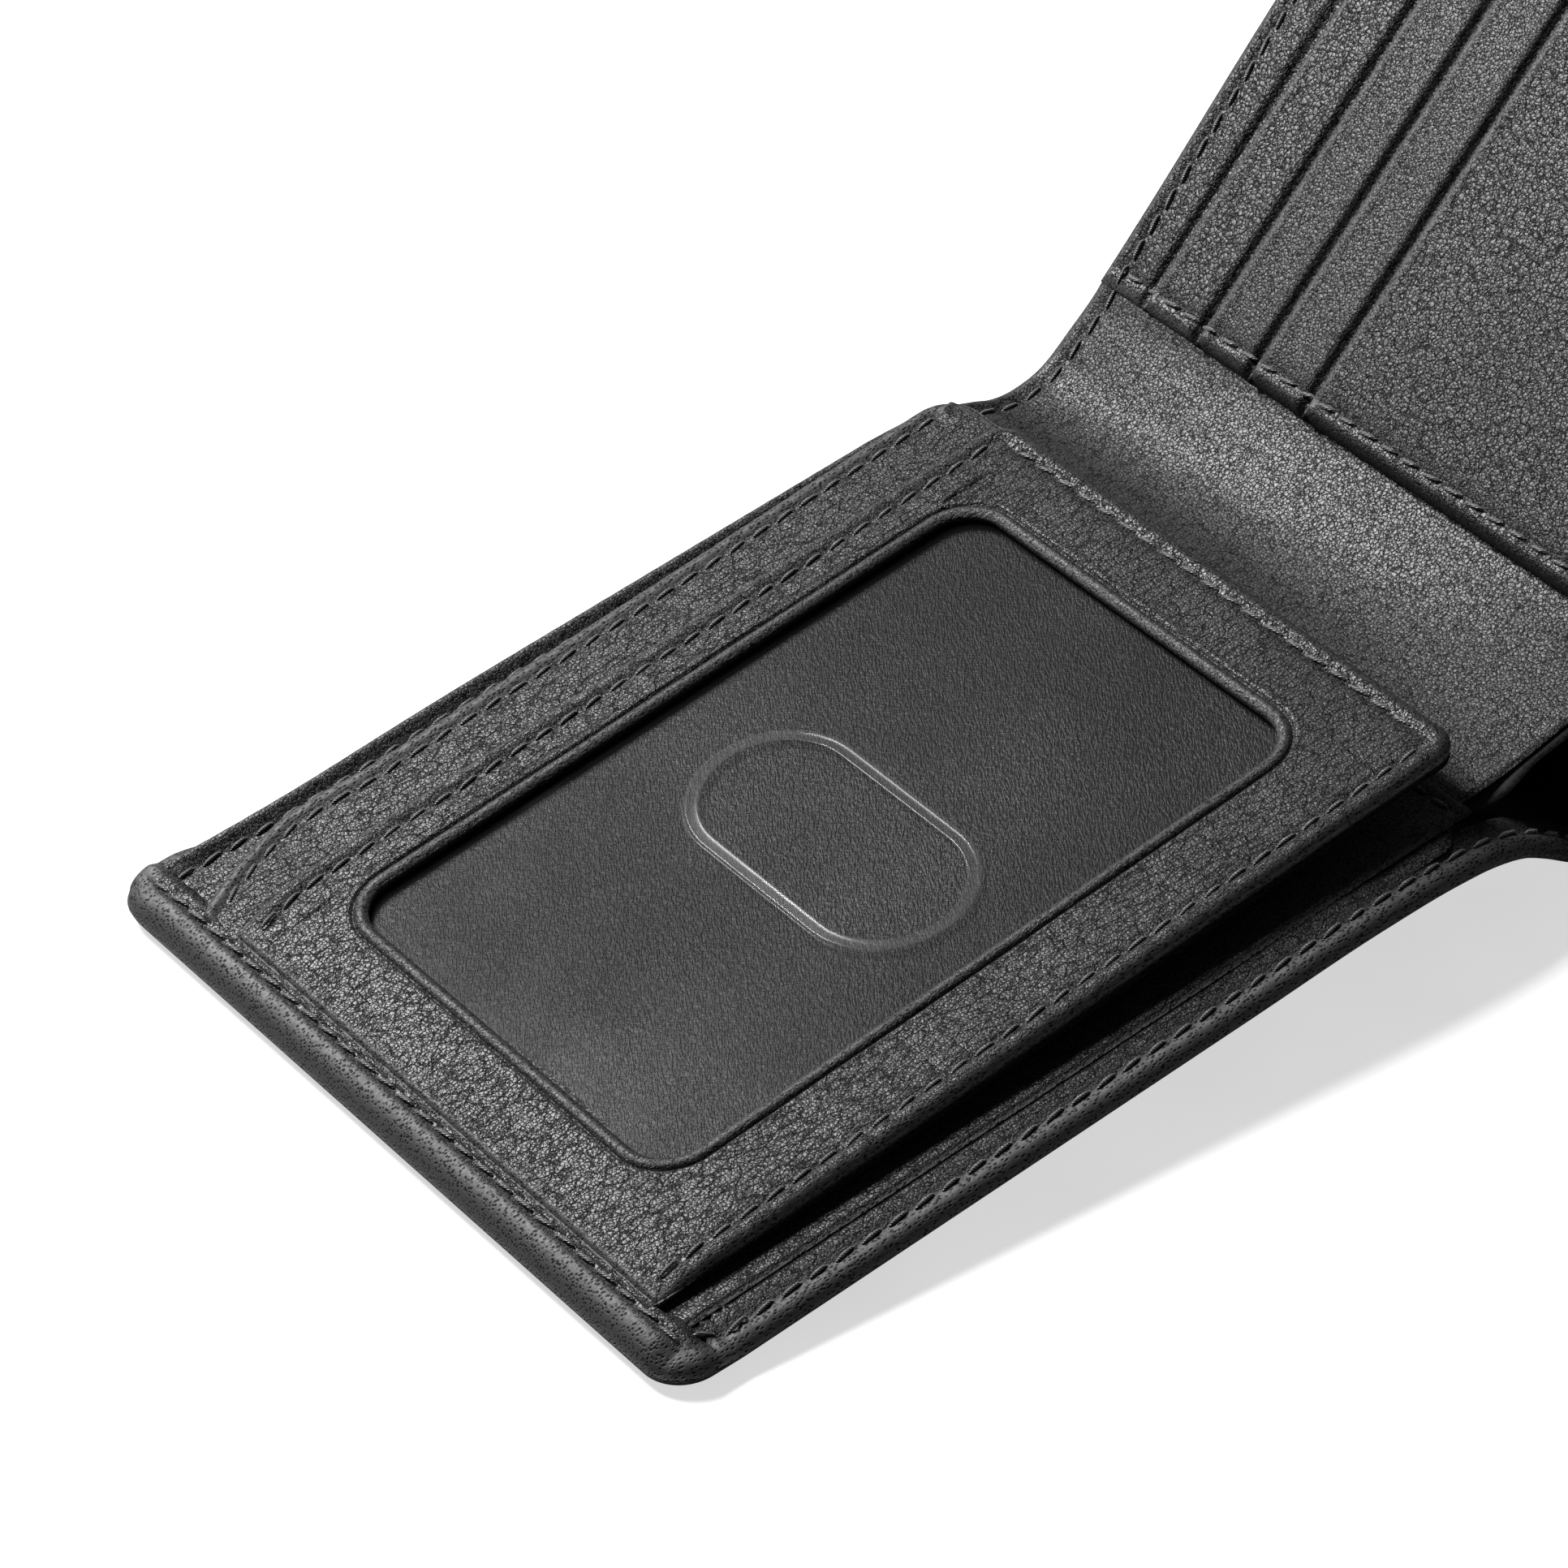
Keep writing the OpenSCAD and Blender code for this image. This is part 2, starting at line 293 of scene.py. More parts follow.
def leather(name, pebble, shade=1.0, crease=0.8):
    """Black grained leather: pebbles of that size in millimetres with paler tops and cracks
    painted dark, longer creases, and finer pores where an edge is rolled. The dark cracks,
    creases and pores are painted shade, and Metallic on their black gives back no light."""
    made, add, join = blank(name, Specular_IOR_Level=0.55)
    at = in_mm(add)
    drift = add("ShaderNodeTexNoise", {"Vector": at, "Scale": 0.9 / pebble, "Detail": 2.0})
    shift = add("ShaderNodeVectorMath", {0: drift.outputs["Color"], 1: (0.5, 0.5, 0.5)},
                operation="SUBTRACT").outputs[0]
    shift = add("ShaderNodeVectorMath", {0: shift, "Scale": 1.4 * pebble},
                operation="SCALE").outputs[0]
    bent = add("ShaderNodeVectorMath", {0: at, 1: shift}, operation="ADD").outputs[0]
    # Pebbles: domes with flat tops and narrow cracks between them.
    domes = add("ShaderNodeTexVoronoi", {"Vector": bent, "Scale": 1 / pebble}).outputs["Distance"]
    domes = ranged(add, domes, 0.15, 0.85, 1.0, 0.0)
    cells = add("ShaderNodeTexVoronoi", {"Vector": bent, "Scale": 1 / pebble},
                feature="DISTANCE_TO_EDGE").outputs["Distance"]
    tops = ranged(add, cells, 0.0, 0.13)
    # Longer creases along the panel, and what all of it stands on.
    drawn = add("ShaderNodeMapping", {0: bent, 3: (0.32, 1.0, 1.0)}).outputs[0]
    wide = add("ShaderNodeTexVoronoi", {"Vector": drawn, "Scale": 0.42 / pebble},
               feature="DISTANCE_TO_EDGE").outputs["Distance"]
    lines = ranged(add, wide, 0.0, 0.07)
    fine = add("ShaderNodeTexNoise", {"Vector": at, "Scale": 2.6 / pebble,
               "Detail": 2.0}).outputs[0]
    swell = add("ShaderNodeTexNoise", {"Vector": at, "Scale": 0.14 / pebble,
                "Detail": 2.0}).outputs[0]
    high = plus(add, times(add, domes, 0.42), times(add, tops, 0.42))
    high = plus(add, high, times(add, fine, 0.07))
    high = plus(add, high, times(add, lines, crease))
    # Where an edge is rolled the grain is pulled flat, and only pores show.
    dots = add("ShaderNodeMapping", {0: at, 3: (0.50, 1.0, 1.0)}).outputs[0]
    pores = add("ShaderNodeTexVoronoi", {"Vector": dots, "Scale": 3.4}).outputs["Distance"]
    pits = ranged(add, pores, 0.14, 0.56)
    pores = plus(add, times(add, pits, 0.55), times(add, fine, 0.20))
    rolled = add("ShaderNodeAttribute", attribute_name="rolled").outputs["Fac"]
    high = add("ShaderNodeMix", {0: rolled, 2: high, 3: pores}).outputs[0]
    bump = add("ShaderNodeBump", {"Height": high, "Strength": 1.0,
               "Distance": 0.17 * MM * pebble})
    join(bump.outputs[0], "Normal")
    # Painted shade: black in the cracks, creases and pores, paler on the open tops.
    # Painted light and shade: the tone argument scales both colours, for copies painted paler or darker.
    dark = (0.0012 * shade, 0.0012 * shade, 0.0012 * shade, 1)
    pale = (0.014 * shade, 0.014 * shade, 0.0143 * shade, 1)
    painted_crack_shade = times(add, tops, plus(add, times(add, lines, 0.8), 0.2))
    painted_crack_shade = add("ShaderNodeMix", {0: rolled, 2: painted_crack_shade, 3: pits}).outputs[0]
    join(add("ShaderNodeMix", {0: painted_crack_shade, 6: dark, 7: pale}, data_type="RGBA").outputs[2],
         "Base Color")
    # Painted shade: Metallic on the black of the cracks and pores takes away their reflection.
    join(ranged(add, painted_crack_shade, 0.0, 1.0, 0.85, 0.0), "Metallic")
    rough = ranged(add, plus(add, domes, swell), 0.2, 1.5, 0.55, 0.47)
    rough = plus(add, rough, times(add, rolled, 0.10))
    join(rough, "Roughness")
    return made


shell_line = smooth_line([on_left(-PROUD, 0), on_left(40, 0), on_left(70, 0), on_left(88, 0),
                          (96.6, 8.7), (101.6, 8.35), (105.4, 7.35), (108.4, 5.7), (111.4, 3.65),
                          (114.6, 1.55), (117.4, 0.5), (119.9, 1.35), on_right(0.6, 0),
                          on_right(4, 0), on_right(12, 0), on_right(50, 0),
                          on_right(RIGHT_LENGTH, 0)])
SHELL_RUN = shell_line[0][-1]
TO_RIGHT = SHELL_RUN - RIGHT_LENGTH    # where the right panel starts along the shell


def shell_top(s, y):
    """How high the shell's inner side is over its outer side: the turned near edge, the seam
    at the left end, the tucked far corner there, the right end, then rows and pleats."""
    near, far, start, end = y + HALF, HALF - y, s, SHELL_RUN - s
    over_right = step(TO_RIGHT - 12, TO_RIGHT + 6, s)
    leaf_side = step(-41.0, -38.6, y) * (1 - step(31.0, 34.0, y))
    strip = (1.5 + 0.55 * over_right) * (1 - step(4.9, 5.5, near))
    seam = 3.0 - 0.55 * step(4.7, 5.9, start) - 0.75 * leaf_side * step(4.5, 5.2, start)
    seam = seam - 0.75 * (1 - step(2.0, 7.0, near)) - 0.5 * (1 - step(2.0, 9.0, far))
    strip = np.maximum(strip, seam * (1 - step(5.8, 6.3, start)))
    strip = np.maximum(strip, 1.9 * (1 - step(4.0, 4.8, far)) * (1 - step(7.0, 13.0, start)))
    strip = np.maximum(strip, 2.9 * (1 - step(4.4, 5.2, end)))
    top = SHELL_THICK + strip - 0.6 * (1 - step(0.0, 5.5, near)) * (1 - over_right)
    in_ends = step(5.5, 8.0, start) * step(4.5, 7.0, end)
    top = top + sewn(near - NEAR_ROW, s) * in_ends + 0.25 * hump(near - 1.1, 0.9)
    seam_row = sewn(start - LEFT_ROW, y, 0.50, 0.34) + 0.12 * hump(start - 2.2, 1.0)
    top = top + seam_row * step(3.0, 6.0, near) * step(1.5, 4.0, far)
    top = top + sewn(end - RIGHT_ROW, y) * step(3.5, 6.0, near)
    near_pleats = 0.22 * pleats((s + 0.5 * (near - 4.0)) / 1.45)
    near_pleats = near_pleats * step(3.3, 4.4, s) * (1 - step(9.5, 12.0, s))
    far_pleats = 0.16 * pleats((s - 0.8 * far) / 1.6)
    far_pleats = far_pleats * (1 - step(4.5, 7.5, s)) * (1 - step(4.0, 6.0, far))
    top = top + near_pleats * step(0.9, 2.2, near) * (1 - step(4.9, 5.5, near))
    return top + far_pleats * step(0.8, 2.0, far)


def shell_shape(s, y, under):
    """The shell's points, and where its leather is rolled. Its edges are round: upwards from
    their middle to the top, downwards to the outer side."""
    edge = np.minimum(np.minimum(s, SHELL_RUN - s), y + HALF)
    far = HALF - y
    wrap = 1 - step(6.0, 13.0, s)
    top = shell_top(s, y)
    share = step(0, 1, far / (far + edge + 1e-6))
    middle = (0.5 + 0.85 * wrap) * (1 - share) + 0.46 * (2.5 + 1.1 * (1 - step(4, 9, s))) * share
    middle = np.minimum(middle, top - 0.3)
    rise = np.minimum(roll(edge / (1.9 + 1.1 * wrap)), roll(far / (0.7 + 1.3 * wrap)))
    fall = np.minimum(roll(edge / 1.7), roll(far / (0.7 + 0.9 * wrap)))
    w = np.where(under, middle * (1 - fall), middle + (top - middle) * rise)
    a, b = rounded(s, y, (CORNER, CORNER - HALF, -1, -1), (CORNER, HALF - CORNER, -1, 1),
                   (SHELL_RUN - CORNER, CORNER - HALF, 1, -1),
                   (SHELL_RUN - CORNER, HALF - CORNER, 1, 1))
    x, z = along(shell_line, a, w)
    edge = np.minimum(edge, far + 8 * (1 - wrap))
    return x, b, z, (1 - step(2.2, 3.6, edge)) * ~under


us = spread(0, SHELL_RUN, 0.9, (0, 7.5, 0.34), (SHELL_RUN, 2.6, 0.45))
ys = spread(-HALF, HALF, 1.3, (-HALF, 3.6, 0.36), (HALF, 1.6, 0.36))
shell, u, y, under = cut_sheet("shell", us, ys)
lay(shell, *shell_shape(u, y, under))
outer_leather = leather("outer_leather", pebble=0.38)
shell.data.materials.append(outer_leather)


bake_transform(shell)
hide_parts("shell_left", "shell_spine", "shell_right")

# ---------------------------------------------------------------- bill lining
# A thin black woven lining glued to the inside of the shell, under the note compartment,
# from one turned end to the other.
us = spread(6.6, SHELL_RUN - 5.3, 1.8)
ys = spread(-40.9, 45.2, 2.2)
bill_lining, u, y, under = cut_sheet("bill_lining", us, ys)
ripple = 0.05 * np.sin(u / 6.3 + y / 11.0) + 0.04 * np.sin(y / 4.7 - u / 17.0)
x, z = along(shell_line, u, np.where(under, 1.16, 1.34) + ripple)
lay(bill_lining, x, y, z)


def cloth(name, gap, tone, rough, relief=1.0, turn=0.0, cloud=0.0):
    """Woven cloth: threads gap millimetres apart, laid at an angle of turn, with soft patches that are
    rougher and painted darker as the shade of an uneven sheen.
    """
    made, add, join = blank(name, Sheen_Weight=0.08, Sheen_Roughness=0.4, Specular_IOR_Level=0.15)
    at = in_mm(add, turn)
    threads = []
    for stretch in ((1.0, 0.24, 1.0), (0.24, 1.0, 1.0)):
        drawn = add("ShaderNodeMapping", {0: at, 3: stretch}).outputs[0]
        threads.append(add("ShaderNodeTexNoise", {"Vector": drawn, "Scale": 1.5 / gap,
                           "Detail": 1.0}).outputs[0])
    warp, weft = (ranged(add, t, 0.36, 0.64) for t in threads)
    weave = plus(add, times(add, warp, 0.6), times(add, weft, 0.4))
    fuzz = add("ShaderNodeTexNoise", {"Vector": at, "Scale": 5.0, "Detail": 3.0}).outputs[0]
    soft = add("ShaderNodeTexNoise", {"Vector": at, "Scale": 0.045, "Detail": 2.0}).outputs[0]
    high = plus(add, weave, times(add, fuzz, 0.5))
    bump = add("ShaderNodeBump", {"Height": high, "Strength": 1.0, "Distance": 0.03 * MM * relief})
    join(bump.outputs[0], "Normal")
    pale = add("ShaderNodeMix", {0: ranged(add, weave, 0.1, 0.9), 6: (*[tone * 0.6] * 3, 1),
               7: (*[tone * 1.3] * 3, 1)}, data_type="RGBA").outputs[2]
    # Painted shade: soft patches of the colour are darkened for the satin's uneven sheen.
    painted_sheen_shade = ranged(add, soft, 0.35, 0.65, 1 - cloud, 1.0)
    join(add("ShaderNodeMix", {0: 1.0, 6: pale, 7: painted_sheen_shade}, data_type="RGBA",
             blend_type="MULTIPLY").outputs[2], "Base Color")
    join(ranged(add, soft, 0.35, 0.65, rough + 0.12 * cloud, rough), "Roughness")
    return made


lining_cloth = cloth("lining_cloth", 0.35, 0.012, 0.7)
bill_lining.data.materials.append(lining_cloth)
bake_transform(bill_lining)
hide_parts("lining_left", "lining_spine", "lining_right")

# ---------------------------------------------------------------- divider
# The inner wall of the note compartment, one leather from panel to panel. Across the fold it
# bridges the gap: low along its far edge, which is rolled and sewn, and nearly straight
# along its near edge, which is cut short of the shell's rim.
DIVIDER_W = 2.35               # how high it lies on the left panel
DIVIDER_START = 4.2
DIVIDER_ROW = 2.5              # how far in from its far edge it is sewn
ON_LEFT_END, ON_STACK_START = 97.0, 15.0
BRIDGE = 36.0                  # what is counted along it between the two panels
STACK_TILT, STACK_W = np.radians(-1.25), 4.75
STACK_END = 109.9


def on_stack(u, w):
    return on_right(*lean(STACK_TILT, u, w, 0.0, STACK_W))


on_wall = [on_left(80, DIVIDER_W), on_left(92, DIVIDER_W), on_left(ON_LEFT_END, DIVIDER_W)]
near_line = smooth_line([*on_wall,
                         (102.4, 11.95), (109.4, 12.9), (116.6, 14.7), (123.2, 16.0),
                         (127.8, 17.0), on_stack(ON_STACK_START, 0), on_stack(20, 0)])
far_line = smooth_line([*on_wall,
                        (103.0, 11.6), (109.6, 9.9), (115.3, 8.3), (120.2, 9.2), (125.2, 13.2),
                        (128.6, 16.5), on_stack(ON_STACK_START, 0), on_stack(20, 0)])


def bridge(s, y, w):
    """The divider's (x, z), s along it from the left end: panel, bridge, then the stack."""
    left = on_left(s, DIVIDER_W + w)
    right = on_stack(s - ON_LEFT_END - BRIDGE + ON_STACK_START, w)
    share = np.clip((s - ON_LEFT_END) / BRIDGE, 0, 1)
    found = []
    for line in (near_line, far_line):
        first, last = line[0][0] + 17.0, line[0][-1] - 5.0
        found.append(along(line, first + share * (last - first), w))
    far = step(-44.0, 46.0, y) * 0.5 + 0.5 * np.clip((y + 42.0) / 88.0, 0, 1)
    x, z = (found[0][i] * (1 - far) + found[1][i] * far for i in (0, 1))
    x = np.where(s <= ON_LEFT_END, left[0], np.where(s >= ON_LEFT_END + BRIDGE, right[0], x))
    z = np.where(s <= ON_LEFT_END, left[1], np.where(s >= ON_LEFT_END + BRIDGE, right[1], z))
    return x, z


DIVIDER_RUN = ON_LEFT_END + BRIDGE + STACK_END - ON_STACK_START


def divider_sides(s):
    """Its near and far edge, where it is s along."""
    near = -43.4 + 4.2 * (step(98, 104, s) * (1 - step(128, 136, s)))
    far = 45.4 + 1.1 * step(99, 110, s) - 0.5 * step(118, 134, s)
    return near, far + 0.9 * step(134, 175, s) - 0.5 * hump(s - 20, 14)


def divider_top(s, to_far):
    """How much higher its face is by the far edge, which curls up on the left and is sewn."""
    curl = (1 - step(112, 128, s)) * (1 - step(0.6, 3.0, to_far))
    row = sewn(to_far - DIVIDER_ROW, s)
    return 0.9 * curl * (1 - 0.6 * step(96, 112, s)) + row + 0.16 * hump(to_far - 1.0, 0.8)


us = spread(DIVIDER_START, DIVIDER_RUN, 0.95, (ON_LEFT_END + 18, 14, 0.8))
ys = spread(0, 1, 0.022, (1, 0.05, 0.0035), (0, 0.008, 0.004))
divider, u, v, under = cut_sheet("divider", us, ys)
near, far = divider_sides(u)
y = near + (far - near) * v
edge = np.minimum(np.minimum(y - near, u - DIVIDER_START), DIVIDER_RUN - u)
top = divider_top(u, far - y)
rise = np.minimum(roll(edge / 0.35), roll((far - y) / 1.3))
w = np.where(under, -0.35 - 0.30 * rise + 0.3 * top * (1 - step(0, 3, far - y)),
             -0.35 + (0.35 + top) * rise)
belly = 0.35 * np.sin(np.clip((u - 100) / 30, 0, 1) * np.pi) * np.sin(y / 14.0)
x, z = bridge(u, y, w + belly)
lay(divider, x, y, z, 0.5 * (1 - step(0.4, 1.4, far - y)) * ~under)
# Painted light: the divider's leather is a paler copy of the black leather, for the strip across the
# fold that faces the lamp.
strip_leather_painted_light = leather("strip_leather_painted_light", pebble=0.42, shade=1.4, crease=0.15)
divider.data.materials.append(strip_leather_painted_light)
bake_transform(divider)
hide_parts("divider_left", "divider_spine", "divider_right")

# ---------------------------------------------------------------- divider backing
# Black woven cloth glued to the back of the divider where it bridges the fold. It shows as a
# thin, wavering edge below the leather there.
us = spread(90.0, 146.0, 1.1)
ys = spread(0, 1, 0.035, (0, 0.04, 0.012))
divider_backing, u, v, under = cut_sheet("divider_backing", us, ys)
near = -41.4 + 2.6 * step(98, 106, u) * (1 - step(124, 136, u)) - 1.9 * hump(u - 109, 4.0)
near = near - 1.4 * step(108, 118, u) * (1 - step(124, 134, u))
y = near + (44.6 - near) * v
drop = -0.78 - 0.9 * hump(u - 105.5, 3.5) * (1 - v) ** 6
x, z = bridge(u, y, np.where(under, drop - 0.2, drop))
lay(divider_backing, x, y, z)
divider_backing.data.materials.append(lining_cloth)
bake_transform(divider_backing)

# ---------------------------------------------------------------- left pocket
# The leather panel on the left wall, under the hinged leaf. Its far edge is the mouth of a
# pocket; its near edge lies on the shell's turned rim, and its side is sewn by the fold.
u0, u1, y0, y1 = 4.4, 103.4, -41.5, 40.2
POCKET_ROW = 1.7               # how far in from its side by the fold it is sewn
POCKET_TOP = 2.98
us = spread(u0, u1, 1.3, (u1, 2.2, 0.3))
ys = spread(y0, y1, 0.9, (y0, 1.6, 0.3), (y1, 1.2, 0.25))
pocket_left, u, y, under = cut_sheet("pocket_left", us, ys)
edge = np.minimum(np.minimum(roll((y - y0) / 0.45), roll((y1 - y) / 0.55)), roll((u1 - u) / 0.5))
on_rim = 1 - step(0.5, 3.6, y - y0)
top = POCKET_TOP + 0.25 * on_rim + sewn(u1 - u - POCKET_ROW, y, 0.2, 0.06)
w = np.where(under, 2.46 + 0.18 * on_rim, 2.62 + (top - 2.62) * edge)
x, z = on_left(u, w)
lay(pocket_left, x, y, z - 0.225 * step(95, 104, u), (1 - edge) * ~under)
panel_leather = leather("panel_leather", pebble=0.40)
pocket_left.data.materials.append(panel_leather)
POCKET_SEAM = u1 - POCKET_ROW
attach(pocket_left, "left_panel")
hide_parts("pocket_left")

# ---------------------------------------------------------------- leaf back
# The back leather of the hinged leaf. Its far band stands out past the front leather, with
# a rolled and sewn edge that runs in under the turned end of the shell.
LEAF_TILT = np.radians(2.2)
LEAF_U, LEAF_W = 4.2, 4.3      # where the leaf starts on the left panel, and how high
BACK_SIDE, BACK_NEAR, BACK_FAR = 101.2, -38.2, 41.4
BACK_ROW = 2.1                 # how far in from its far edge it is sewn
BACK_TOP = -1.16


def on_leaf(u, w):
    return on_left(*lean(LEAF_TILT, u, w, LEAF_U, LEAF_W))


def back_drawn(u):
    """How far its far edge is drawn in, most where it runs in under the shell's end."""
    return np.interp(u, (-1, 1.2, 5.7, 9.5, 13.2, 17.9, 22.9, 102),
                     (6.2, 4.9, 2.8, 1.3, 0.1, 0, 0.5, 0.3))


us = spread(-0.9, BACK_SIDE, 0.85, (BACK_SIDE, 2.5, 0.35))
ys = spread(BACK_NEAR, BACK_FAR, 2.4, (BACK_NEAR, 1.6, 0.3), (BACK_FAR, 3.6, 0.32))
leaf_back, u, y, under = cut_sheet("leaf_back", us, ys)
near, far, side = y - BACK_NEAR, BACK_FAR - y, BACK_SIDE - u
edge = np.minimum(np.minimum(roll(near / 0.5), roll(side / 0.5)), roll(far / 1.2))
top = BACK_TOP + sewn(far - BACK_ROW, u, 0.32, 0.14) * step(1.5, 4, side)
top = top + 0.34 * hump(far - 1.0, 0.9)
w = np.where(under, -1.45 - 0.43 * edge, -1.5 + (top + 1.5) * edge)
w = w + 0.80 * (1 - step(1.0, 16.0, u))
a, b = rounded(u, y, (BACK_SIDE - 4.5, BACK_FAR - 4.5, 1, 1),
               (BACK_SIDE - 3.2, BACK_NEAR + 3.2, 1, -1))
b = b - back_drawn(u) * step(24, 40, b)
x, z = on_leaf(a, w + 0.12 * np.sin(a / 13.0) * step(25, 41, y))
rolled = np.maximum(1 - step(1.2, 2.4, far), 1 - step(0.4, 1.2, np.minimum(near, side)))
lay(leaf_back, x, b, z, rolled * ~under)
leaf_leather = leather("leaf_leather", pebble=0.37, crease=0.9)
leaf_back.data.materials.append(leaf_leather)
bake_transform(leaf_back)
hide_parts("leaf_back")

# ---------------------------------------------------------------- satin of the leaf
# Black satin twill lies between the leaf's two leathers and shows through the window.
us = spread(6.0, 100.0, 1.6)
ys = spread(-36.4, 31.0, 1.6)
leaf_satin, u, y, under = cut_sheet("leaf_satin", us, ys)
billow = 0.10 * np.sin(u / 9.0 + 0.6 * np.sin(y / 13.0)) + 0.07 * np.sin(y / 7.5 - u / 21.0)
billow = billow * step(-30, -24, y) * (1 - step(20, 26, y))
x, z = on_leaf(u, np.where(under, -1.12, -0.96) + billow)
lay(leaf_satin, x, y, z)
# Its soft dark patches are painted shade of an uneven sheen.
leaf_satin.data.materials.append(cloth("satin", 0.30, 0.009, 0.40, relief=2.0, turn=0.62,
                                       cloud=0.6))
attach(leaf_satin, "id_leaf")
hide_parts("leaf_lining")

# ---------------------------------------------------------------- leaf window
# A clear film fills the window from behind, with a thumb slot punched through it: a slot
# with round ends and a pressed rim.
WINDOW = (10.0, 90.2, -26.0, 24.3)
SLOT_MIDDLE, SLOT_HALF = (49.7, -2.66), (7.93, 16.35)


def loop(u0, u1, y0, y1, radii, sides=(10, 10), arc=12):
    """Points round a rectangle with rounded corners, each side and corner with its own count,
    so that two such loops match point for point. It starts after the near left corner."""
    out = []
    corners = ((u1, y0, 1, -1, -90), (u1, y1, 1, 1, 0), (u0, y1, -1, 1, 90), (u0, y0, -1, -1, 180))
    radii = [max(r, 0.02) for r in radii]
    last = np.array([u0 + radii[3], y0])
    for k, (cu, cy, su, sy, turn) in enumerate(corners):
        r = radii[k]
        t = np.radians(turn + np.linspace(0, 90, arc + 1))
        bend = np.c_[cu - su * r + r * np.cos(t), cy - sy * r + r * np.sin(t)]
        n = sides[k % 2]
        out.append(last + (bend[0] - last) * (np.arange(n) / n)[:, None])
        out.append(bend[:-1])
        last = bend[-1]
    return np.concatenate(out)


def ringed(name, loops, heights, marks):
    """A closed skin through a stack of matching loops that ends where it begins: a grid whose
    two pairs of sides are brought together and merged. Each loop has a mark for how far its
    edge is rolled."""
    around, rows = len(loops[0]), len(loops)
    heights = np.array([np.broadcast_to(height, around) for height in heights])
    bpy.ops.object.select_all(action="DESELECT")
    bpy.ops.mesh.primitive_grid_add(x_subdivisions=around, y_subdivisions=rows, size=2)
    piece = bpy.context.object
    piece.name = piece.data.name = name
    co = points_of(piece)
    i = np.rint((co[:, 0] + 1) / 2 * around).astype(int) % around
    j = np.rint((co[:, 1] + 1) / 2 * rows).astype(int) % rows
    flat = np.array(loops)[j, i]
    x, z = on_leaf(flat[:, 0], heights[j, i])
    lay(piece, x, flat[:, 1], z, np.array(marks)[j])
    bpy.ops.object.mode_set(mode="EDIT")
    bpy.ops.mesh.select_all(action="SELECT")
    bpy.ops.mesh.remove_doubles(threshold=0.004 * MM)
    bpy.ops.mesh.normals_make_consistent(inside=False)
    bpy.ops.object.mode_set(mode="OBJECT")
    return piece


def slot_loop(out):
    """The thumb slot's outline, moved out by out."""
    cu, cy = SLOT_MIDDLE
    hu, hy = SLOT_HALF
    r = [hu + out] * 4
    return loop(cu - hu - out, cu + hu + out, cy - hy - out, cy + hy + out, r, (4, 12), 16)


film_edge = loop(8.2, 92.0, -27.8, 26.1, [3.0] * 4, (4, 12), 16)
last_ring = slot_loop(2.1)
offs = (0.0, 0.10, 0.22, 0.40, 0.8, 1.2, 1.42, 1.56, 1.70, 1.84, 2.1)
press = (0.06, 0.16, 0.21, 0.17, 0.13, 0.17, 0.22, 0.18, 0.05, 0.0, 0.0)
loops = [slot_loop(o) for o in offs]
loops += [last_ring + (film_edge - last_ring) * t for t in (0.2, 0.45, 0.7, 0.9, 1.0)]
film_top = -0.42
heights = [film_top + p for p in press] + [film_top] * 5
loops += [film_edge, last_ring + (film_edge - last_ring) * 0.5, slot_loop(1.7), slot_loop(0.3)]
heights += [film_top - 0.16] * 4
pressed = [float(0 < i < 9) for i in range(len(loops))]    # the raised rim round the slot
leaf_window = ringed("leaf_window", loops, heights, pressed)
for polygon in leaf_window.data.polygons:
    out = abs(polygon.center.x / MM + MID - LEAF_U - SLOT_MIDDLE[0])
    polygon.use_smooth = bool(out < SLOT_HALF[0] + 2.4)
clear, add, join = blank("clear_film")
smear = add("ShaderNodeTexNoise", {"Scale": 70.0, "Detail": 3.0,
            "Vector": add("ShaderNodeTexCoord").outputs["Object"]}).outputs[0]
join(ranged(add, smear, 0.35, 0.65, 0.10, 0.20), "Roughness")
wavy = add("ShaderNodeBump", {"Height": smear, "Strength": 1.0, "Distance": 0.05 * MM})
join(wavy.outputs[0], "Normal")
# Painted highlight: the pressed rim round the slot is paler grey and less clear than the rest of the
# film, for the light its slopes catch.
pressed = add("ShaderNodeAttribute", attribute_name="rolled").outputs["Fac"]
join(ranged(add, pressed, 0.0, 1.0, 0.04, 0.24), "Alpha")
join(add("ShaderNodeMix", {0: pressed, 6: (0.03, 0.03, 0.03, 1), 7: (0.10, 0.10, 0.10, 1)},
         data_type="RGBA").outputs[2], "Base Color")
leaf_window.data.materials.append(clear)
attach(leaf_window, "id_leaf")
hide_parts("leaf_window")

# ---------------------------------------------------------------- leaf front
# The front leather of the leaf, a frame round the window. Its outer edges are rolled and
# sewn; round the window it is turned in over a filler and creased; at the hinge the shell's
# turned strip lies over it in a soft ridge.
LEAF = (-0.30, 101.3, -38.3, 32.2)
LEAF_RADII = (3.2, 3.4, 0.6, 0.6)
SIDES = (128, 88)              # points along its long and its short sides
FRONT_ROW = 2.35               # how far in from its edges it is sewn
FRONT_EDGE, FRONT_UNDER = -0.25, -0.34
AWAY = 99                      # too far from an edge for it to matter


def front_drawn(u):
    """How far its far edge is drawn in by the hinge."""
    return np.interp(u, (-1.4, 0.6, 5.1, 9.3), (2.4, 1.7, 0.6, 0.0))


def outer_loop(d):
    u0, u1, y0, y1 = LEAF
    return loop(u0 + d, u1 - d, y0 + d, y1 - d, [r - d for r in LEAF_RADII], SIDES, 10)


def window_loop(e):
    u0, u1, y0, y1 = WINDOW
    return loop(u0 - e, u1 + e, y0 - e, y1 + e, [4.6 + e] * 4, SIDES, 10)


